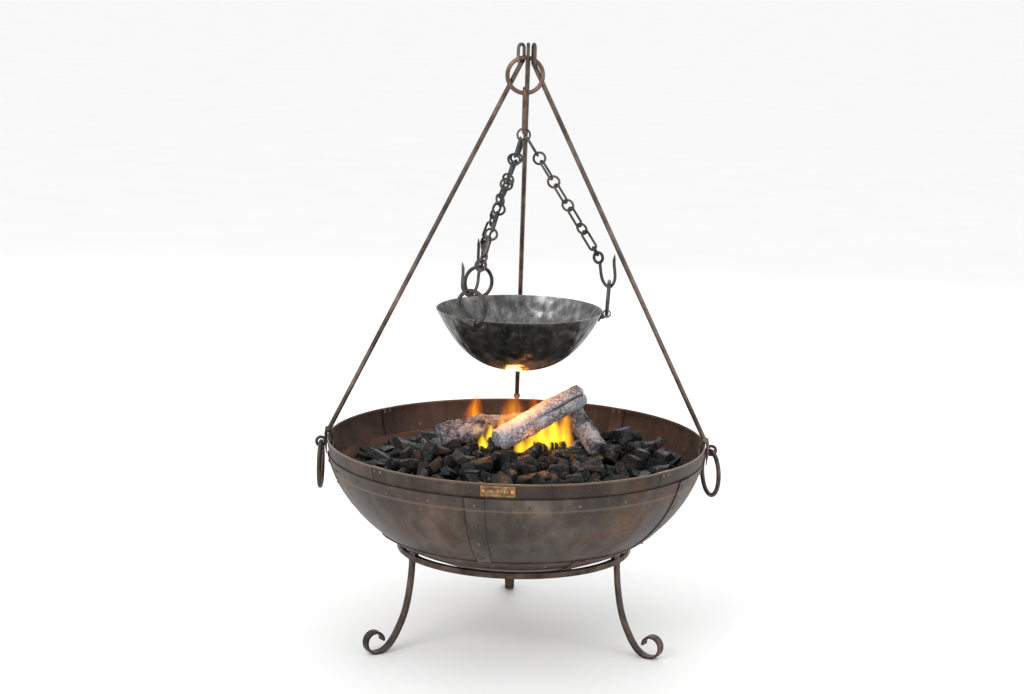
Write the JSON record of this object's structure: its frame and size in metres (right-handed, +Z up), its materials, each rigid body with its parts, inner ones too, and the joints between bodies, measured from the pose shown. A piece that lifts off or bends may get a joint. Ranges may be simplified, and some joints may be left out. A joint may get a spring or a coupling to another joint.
{
  "type": "fire pit with grate",
  "caption": "Riveted steel fire bowl on a three-legged scrolled stand, with ring handles, a lift-out charcoal grate, and a rod tripod carrying a small cooking bowl on chains.",
  "frame": {"origin": "on the floor, on the axis of the fire bowl and its stand", "axes": "+Z up, -Y the front (the side with the name plate), +X to the right"},
  "size_m": [0.8586, 0.81, 1.26],
  "materials": {
    "bowl_steel": "rusted, brown-grey patina",
    "rivet_steel": "worn dark steel",
    "plate_brass": "tarnished",
    "pin_copper": "copper, worn bright",
    "handle_iron": "forged, dark brown",
    "stand_iron": "forged, dark brown",
    "grate_iron": "fire-blackened",
    "charcoal": "charred, dull black",
    "burnt_wood": "ash grey, cracked, glowing in its cracks",
    "tripod_iron": "forged, brown-grey",
    "ring_iron": "forged, copper-brown oxide",
    "chain_iron": "forged, dark grey",
    "cook_steel": "hammered, dark grey"
  },
  "bodies": {
    "stand": {"stand_hoop": "stand_iron", "stand_leg_front_left": "stand_iron", "stand_leg_front_right": "stand_iron", "stand_leg_rear": "stand_iron", "stand_welds": "stand_iron", "bowl_rests": "stand_iron"},
    "fire_bowl": {"rim_band_front": "bowl_steel", "rim_band_right": "bowl_steel", "rim_band_rear": "bowl_steel", "rim_band_left": "bowl_steel", "side_plate_front": "bowl_steel", "side_plate_right": "bowl_steel", "side_plate_rear_right": "bowl_steel", "side_plate_rear": "bowl_steel", "side_plate_left": "bowl_steel", "lower_plate_front": "bowl_steel", "lower_plate_left": "bowl_steel", "lower_plate_rear": "bowl_steel", "lower_plate_right": "bowl_steel", "base_dish": "bowl_steel", "rim_row_rivets": "rivet_steel", "lower_row_rivets": "rivet_steel", "dish_rivets": "rivet_steel", "seam_rivets": "rivet_steel", "rim_band_rivets": "rivet_steel", "handle_roves": "rivet_steel", "name_plate": "plate_brass", "name_plate_pins": "pin_copper", "handle_eye_left": "handle_iron", "handle_eye_right": "handle_iron"},
    "handle_left": {"handle_ring_left": "handle_iron"},
    "handle_right": {"handle_ring_right": "handle_iron"},
    "grate": {"grate_ring": "grate_iron", "grate_bars": "grate_iron", "grate_runners": "grate_iron", "charcoal_bed": "charcoal", "logs": "burnt_wood"},
    "tripod": {"tripod_ring": "ring_iron", "tripod_leg_left": "tripod_iron", "tripod_leg_right": "tripod_iron", "tripod_leg_rear": "tripod_iron"},
    "s_hook": {"s_hook": "ring_iron"},
    "hanging_bowl": {"master_ring": "chain_iron", "chain_rings_front_left": "chain_iron", "chain_links_front_left": "chain_iron", "chain_hook_front_left": "chain_iron", "chain_rings_rear_left": "chain_iron", "chain_links_rear_left": "chain_iron", "chain_hook_rear_left": "chain_iron", "chain_rings_right": "chain_iron", "chain_links_right": "chain_iron", "chain_hook_right": "chain_iron", "lug_ring_front_left": "chain_iron", "lug_ring_rear_left": "chain_iron", "lug_ring_right": "chain_iron", "lug_front_left": "chain_iron", "lug_rear_left": "chain_iron", "lug_right": "chain_iron", "lug_rivets": "rivet_steel", "cooking_bowl": "cook_steel"}
  },
  "joints": [
    {"name": "bowl_lift", "type": "slide", "parent": "stand", "child": "fire_bowl", "axis": [0, 0, 1], "range_m": [0, 0.2]},
    {"name": "handle_left_swing", "type": "hinge", "parent": "fire_bowl", "child": "handle_left", "pos_m": [-0.4136, 0, 0.40875], "axis": [0, 1, 0], "range_deg": [0, 90]},
    {"name": "handle_right_swing", "type": "hinge", "parent": "fire_bowl", "child": "handle_right", "pos_m": [0.4136, 0, 0.40875], "axis": [0.2924, -0.9563, 0], "range_deg": [0, 90]},
    {"name": "grate_lift", "type": "slide", "parent": "fire_bowl", "child": "grate", "axis": [0, 0, 1], "range_m": [0, 0.06]},
    {"name": "tripod_lift", "type": "slide", "parent": "fire_bowl", "child": "tripod", "axis": [0, 0, 1], "range_m": [0, 0.25]},
    {"name": "s_hook_swing", "type": "hinge", "parent": "tripod", "child": "s_hook", "pos_m": [0, 0, 1.156], "axis": [1, 0, 0], "range_deg": [-4, 2]},
    {"name": "hanging_bowl_swing", "type": "hinge", "parent": "s_hook", "child": "hanging_bowl", "pos_m": [0, 0, 1.0827], "axis": [0, 1, 0], "range_deg": [-3, 4]}
  ]
}
